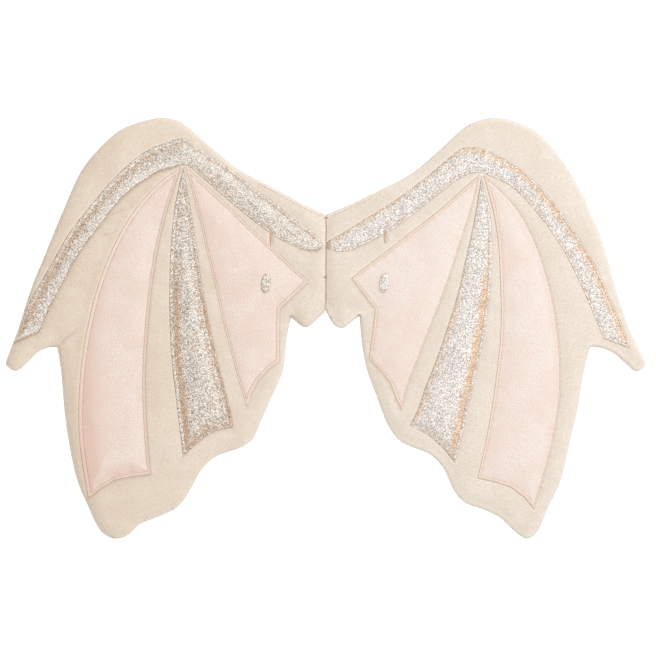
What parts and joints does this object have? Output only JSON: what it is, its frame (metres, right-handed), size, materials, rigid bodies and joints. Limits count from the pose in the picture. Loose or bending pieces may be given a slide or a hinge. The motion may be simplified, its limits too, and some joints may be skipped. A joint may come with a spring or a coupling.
{
  "type": "costume dragon wings",
  "caption": "Flat padded costume dragon wings with a sewn middle seam, glitter arm bands and ribs, soft pink panels and elastic arm straps on the back.",
  "frame": {"origin": "on the sewn seam between the wings, at half height, on the flat back that lies on the ground", "axes": "+X across the wings to the wearer's left when worn on the back, +Y up the wings, +Z out of the decorated face"},
  "size_m": [0.6001, 0.395, 0.0128],
  "materials": {
    "velour": "short soft nap",
    "glitter_fabric": "silver and champagne glitter flakes",
    "faux_leather": "matte, fine pebble grain",
    "elastic": "woven elastic"
  },
  "bodies": {
    "root": {"left_wing_body": "velour", "left_arm_band": "glitter_fabric", "left_rib": "glitter_fabric", "left_outer_panel": "faux_leather", "left_inner_panel": "faux_leather", "left_arm_strap": "elastic", "right_wing_body": "velour", "right_arm_band": "glitter_fabric", "right_rib": "glitter_fabric", "right_outer_panel": "faux_leather", "right_inner_panel": "faux_leather", "right_arm_strap": "elastic"}
  },
  "joints": []
}
